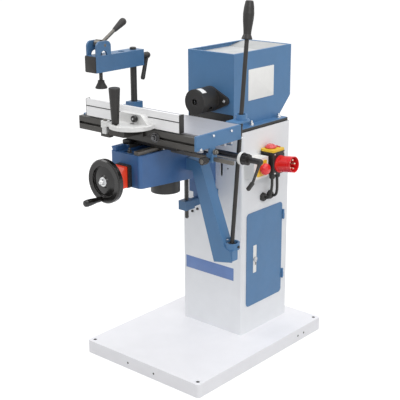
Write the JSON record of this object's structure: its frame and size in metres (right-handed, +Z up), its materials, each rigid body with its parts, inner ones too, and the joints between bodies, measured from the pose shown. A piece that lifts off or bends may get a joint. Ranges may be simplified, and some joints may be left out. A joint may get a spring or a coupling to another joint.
{
  "type": "horizontal slot mortiser",
  "caption": "Free-standing slot mortiser with a hooded motor head, a joystick table on a rising knee, a fence and an eccentric clamp.",
  "frame": {"origin": "on the floor, at the centre of the four floor bolts, which is the middle of the base pan", "axes": "+Z up, +X to the operator's right, -Y towards the operator; the chuck's mouth points along -Y"},
  "size_m": [0.6248, 0.907, 1.2452],
  "materials": {
    "white_paint": "smooth white powder coat",
    "grey_paint": "smooth light-grey powder coat",
    "blue_paint": "satin blue paint",
    "black_paint": "satin black paint",
    "black_cast": "black painted casting",
    "bright_steel": "ground steel",
    "dark_steel": "blackened steel",
    "alloy": "cast and extruded alloy, bare",
    "black_plastic": "black moulded plastic",
    "matt_black": "matt black moulded plastic",
    "white_plastic": "light moulded plastic",
    "red_plastic": "signal red moulded plastic",
    "yellow_plastic": "signal yellow moulded plastic",
    "green_plastic": "green moulded plastic",
    "rubber": "black rubber"
  },
  "bodies": {
    "frame": {"base_pan": "white_paint", "column_shell": "grey_paint", "motor_bracket": "black_paint", "door_hinges": "blue_paint", "hood_shell": "blue_paint", "hood_tray": "grey_paint", "motor_body": "black_cast", "spindle_guard": "black_cast", "slide_way": "bright_steel", "nut_bracket": "blue_paint", "switch_box": "matt_black", "switch_bezel": "yellow_plastic", "power_inlet": "red_plastic", "estop_box": "white_plastic", "cable_glands": "matt_black", "power_cables": "rubber"},
    "door": {"door_panel": "blue_paint"},
    "latch": {"door_latch": "bright_steel"},
    "spindle": {"spindle_shaft": "bright_steel", "chuck_body": "bright_steel", "chuck_jaws": "bright_steel"},
    "knee": {"knee_casting": "blue_paint", "underside_cap": "black_paint", "position_indicator": "red_plastic", "depth_rails": "dark_steel", "lever_bracket": "blue_paint", "lock_tube": "dark_steel"},
    "screw": {"lead_screw": "bright_steel"},
    "wheel": {"handwheel": "black_plastic", "wheel_shaft": "bright_steel"},
    "crank": {"crank_handle": "black_plastic"},
    "cross": {"cross_slide": "dark_steel", "stop_bar": "dark_steel"},
    "table": {"table_top": "bright_steel", "end_plates": "blue_paint", "front_rail": "dark_steel", "clamp_foot": "blue_paint", "lever_guide": "blue_paint"},
    "length_knob": {"length_lock_knob": "matt_black"},
    "gauge": {"gauge_clamp": "dark_steel"},
    "fence_unit": {"gauge_body": "alloy", "fence": "alloy"},
    "fence_screw": {"fence_knob": "black_plastic"},
    "gauge_grip": {"gauge_handle": "matt_black"},
    "post": {"clamp_post": "dark_steel"},
    "arm": {"clamp_arm": "blue_paint", "cam_yoke": "blue_paint"},
    "arm_lever": {"arm_lock_lever": "matt_black"},
    "cam": {"cam_lever": "bright_steel", "cam_grip": "matt_black"},
    "press": {"plunger": "dark_steel", "pressure_pad": "rubber"},
    "gimbal": {"gimbal_ring": "bright_steel"},
    "lever": {"lever_rod": "dark_steel", "lever_grip": "matt_black"},
    "depth_lock": {"lock_lever": "matt_black"},
    "flap": {"stop_flap": "red_plastic"},
    "start": {"start_button": "green_plastic"},
    "stop": {"stop_button": "red_plastic"},
    "estop": {"estop_button": "red_plastic"}
  },
  "joints": [
    {"name": "door_hinge", "type": "hinge", "parent": "frame", "child": "door", "pos_m": [0.1403, 0.267, 0.3245], "axis": [0, 0, 1], "range_deg": [0, 110]},
    {"name": "latch_turn", "type": "hinge", "parent": "door", "child": "latch", "pos_m": [0.138, 0.102, 0.323], "axis": [1, 0, 0], "range_deg": [-90, 0]},
    {"name": "spindle_spin", "type": "hinge", "parent": "frame", "child": "spindle", "pos_m": [0, -0.02, 0.898], "axis": [0, -1, 0], "continuous": true},
    {"name": "knee_lift", "type": "slide", "parent": "frame", "child": "knee", "axis": [0, 0, 1], "range_m": [-0.04, 0.04]},
    {"name": "wheel_turn", "type": "hinge", "parent": "knee", "child": "wheel", "pos_m": [0, -0.486, 0.716], "axis": [0, 1, 0], "range_deg": [-2881, 2881]},
    {"name": "screw_spin", "type": "hinge", "parent": "knee", "child": "screw", "pos_m": [0, -0.105, 0.6], "axis": [0, 0, 1], "range_deg": [-2881, 2881]},
    {"name": "crank_spin", "type": "hinge", "parent": "wheel", "child": "crank", "pos_m": [-0.01579, -0.5, 0.65708], "axis": [0, -1, 0], "continuous": true},
    {"name": "depth_slide", "type": "slide", "parent": "knee", "child": "cross", "axis": [0, 1, 0], "range_m": [-0.035, 0.06]},
    {"name": "length_slide", "type": "slide", "parent": "cross", "child": "table", "axis": [1, 0, 0], "range_m": [-0.075, 0.075]},
    {"name": "gimbal_tilt", "type": "hinge", "parent": "knee", "child": "gimbal", "pos_m": [0.237, -0.15, 0.469], "axis": [-1, 0, 0], "range_deg": [-5.2, 8.6]},
    {"name": "lever_tilt", "type": "hinge", "parent": "gimbal", "child": "lever", "pos_m": [0.237, -0.15, 0.469], "axis": [0, 0.9876, -0.1567], "range_deg": [-10.6, 10.6]},
    {"name": "length_lock", "type": "hinge", "parent": "table", "child": "length_knob", "pos_m": [0.254, -0.3, 0.789], "axis": [0, -1, 0], "range_deg": [-180, 180]},
    {"name": "depth_lock_turn", "type": "hinge", "parent": "knee", "child": "depth_lock", "pos_m": [0.32, -0.157, 0.771], "axis": [1, 0, 0], "range_deg": [-50, 50]},
    {"name": "gauge_slide", "type": "slide", "parent": "table", "child": "gauge", "axis": [1, 0, 0], "range_m": [-0.06, 0.06]},
    {"name": "fence_swing", "type": "hinge", "parent": "gauge", "child": "fence_unit", "pos_m": [0.02, -0.378, 0.876], "axis": [0, 0, 1], "range_deg": [-20, 20]},
    {"name": "fence_lock", "type": "hinge", "parent": "fence_unit", "child": "fence_screw", "pos_m": [0.03, -0.378, 0.9], "axis": [0, -1, 0], "range_deg": [-180, 180]},
    {"name": "gauge_lock", "type": "hinge", "parent": "gauge", "child": "gauge_grip", "pos_m": [-0.017, -0.414, 0.93], "axis": [0, 0, 1], "range_deg": [-180, 180]},
    {"name": "post_swivel", "type": "hinge", "parent": "table", "child": "post", "pos_m": [-0.189, -0.157, 0.9], "axis": [0, 0, 1], "range_deg": [-60, 60]},
    {"name": "arm_lift", "type": "slide", "parent": "post", "child": "arm", "axis": [0, 0, 1], "range_m": [-0.06, 0]},
    {"name": "arm_lock", "type": "hinge", "parent": "arm", "child": "arm_lever", "pos_m": [-0.189, -0.104, 1.042], "axis": [0, 1, 0], "range_deg": [-45, 45]},
    {"name": "cam_turn", "type": "hinge", "parent": "arm", "child": "cam", "pos_m": [-0.189, -0.307, 1.101], "axis": [1, 0, 0], "range_deg": [0, 90]},
    {"name": "press_slide", "type": "slide", "parent": "arm", "child": "press", "axis": [0, 0, 1], "range_m": [-0.009, 0]},
    {"name": "flap_hinge", "type": "hinge", "parent": "frame", "child": "flap", "pos_m": [0.1585, 0.1875, 0.724], "axis": [-1, 0, 0], "range_deg": [0, 100]},
    {"name": "start_press", "type": "slide", "parent": "frame", "child": "start", "axis": [0, 0, -1], "range_m": [0, 0.003], "stiffness_N_per_m": 400, "springref_m": -0.002},
    {"name": "stop_press", "type": "slide", "parent": "frame", "child": "stop", "axis": [0, 0, -1], "range_m": [0, 0.003], "stiffness_N_per_m": 400, "springref_m": -0.002},
    {"name": "estop_press", "type": "slide", "parent": "frame", "child": "estop", "axis": [-1, 0, 0], "range_m": [0, 0.004], "stiffness_N_per_m": 1500, "springref_m": -0.002}
  ],
  "couplings": [
    {"joint": "wheel_turn", "follows": "knee_lift", "rad_per_m": 1256.6},
    {"joint": "screw_spin", "follows": "knee_lift", "rad_per_m": -1256.6},
    {"joint": "gimbal_tilt", "follows": "depth_slide", "rad_per_m": 2.3448},
    {"joint": "lever_tilt", "follows": "length_slide", "rad_per_m": 2.3698},
    {"joint": "press_slide", "follows": "cam_turn", "m_per_rad": -0.0054019}
  ]
}
